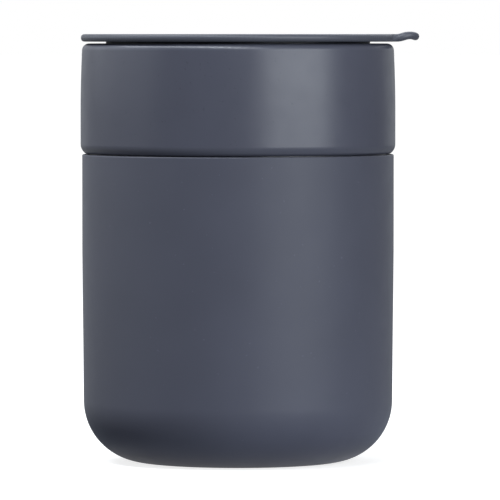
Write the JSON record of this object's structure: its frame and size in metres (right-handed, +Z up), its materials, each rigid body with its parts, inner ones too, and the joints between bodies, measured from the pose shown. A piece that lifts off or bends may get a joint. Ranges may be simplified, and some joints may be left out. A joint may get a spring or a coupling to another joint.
{
  "type": "ceramic travel mug",
  "caption": "Cylindrical ceramic travel mug in a soft sleeve with a rounded base; flat press-in lid with a sip flap that swings up by a wavy thumb tab.",
  "frame": {"origin": "centre of the flat base, on the table", "axes": "+Z up along the mug's axis, +X towards the thumb tab"},
  "size_m": [0.0957, 0.089, 0.1216],
  "materials": {
    "sleeve_silicone": "soft matte silicone",
    "glazed_stoneware": "satin glaze with fine pits",
    "lid_plastic": "fine matte moulding",
    "plug_plastic": "fine matte moulding",
    "seal_silicone": "smooth silicone",
    "pin_steel": "drawn stainless steel"
  },
  "bodies": {
    "sleeve": {"silicone_sleeve": "sleeve_silicone"},
    "cup": {"ceramic_cup": "glazed_stoneware"},
    "lid": {"lid_plate": "lid_plastic", "lid_plug": "plug_plastic", "lid_gasket": "seal_silicone", "hinge_pin": "pin_steel"},
    "flap": {"sip_flap": "lid_plastic", "sip_stopper": "seal_silicone"}
  },
  "joints": [
    {"name": "cup_lift", "type": "slide", "parent": "sleeve", "child": "cup", "axis": [0, 0, 1], "range_m": [0, 0.1]},
    {"name": "lid_lift", "type": "slide", "parent": "cup", "child": "lid", "axis": [0, 0, 1], "range_m": [0, 0.06]},
    {"name": "flap_swing", "type": "hinge", "parent": "lid", "child": "flap", "pos_m": [0.006, 0, 0.11935], "axis": [0, -1, 0], "range_deg": [0, 140]}
  ]
}
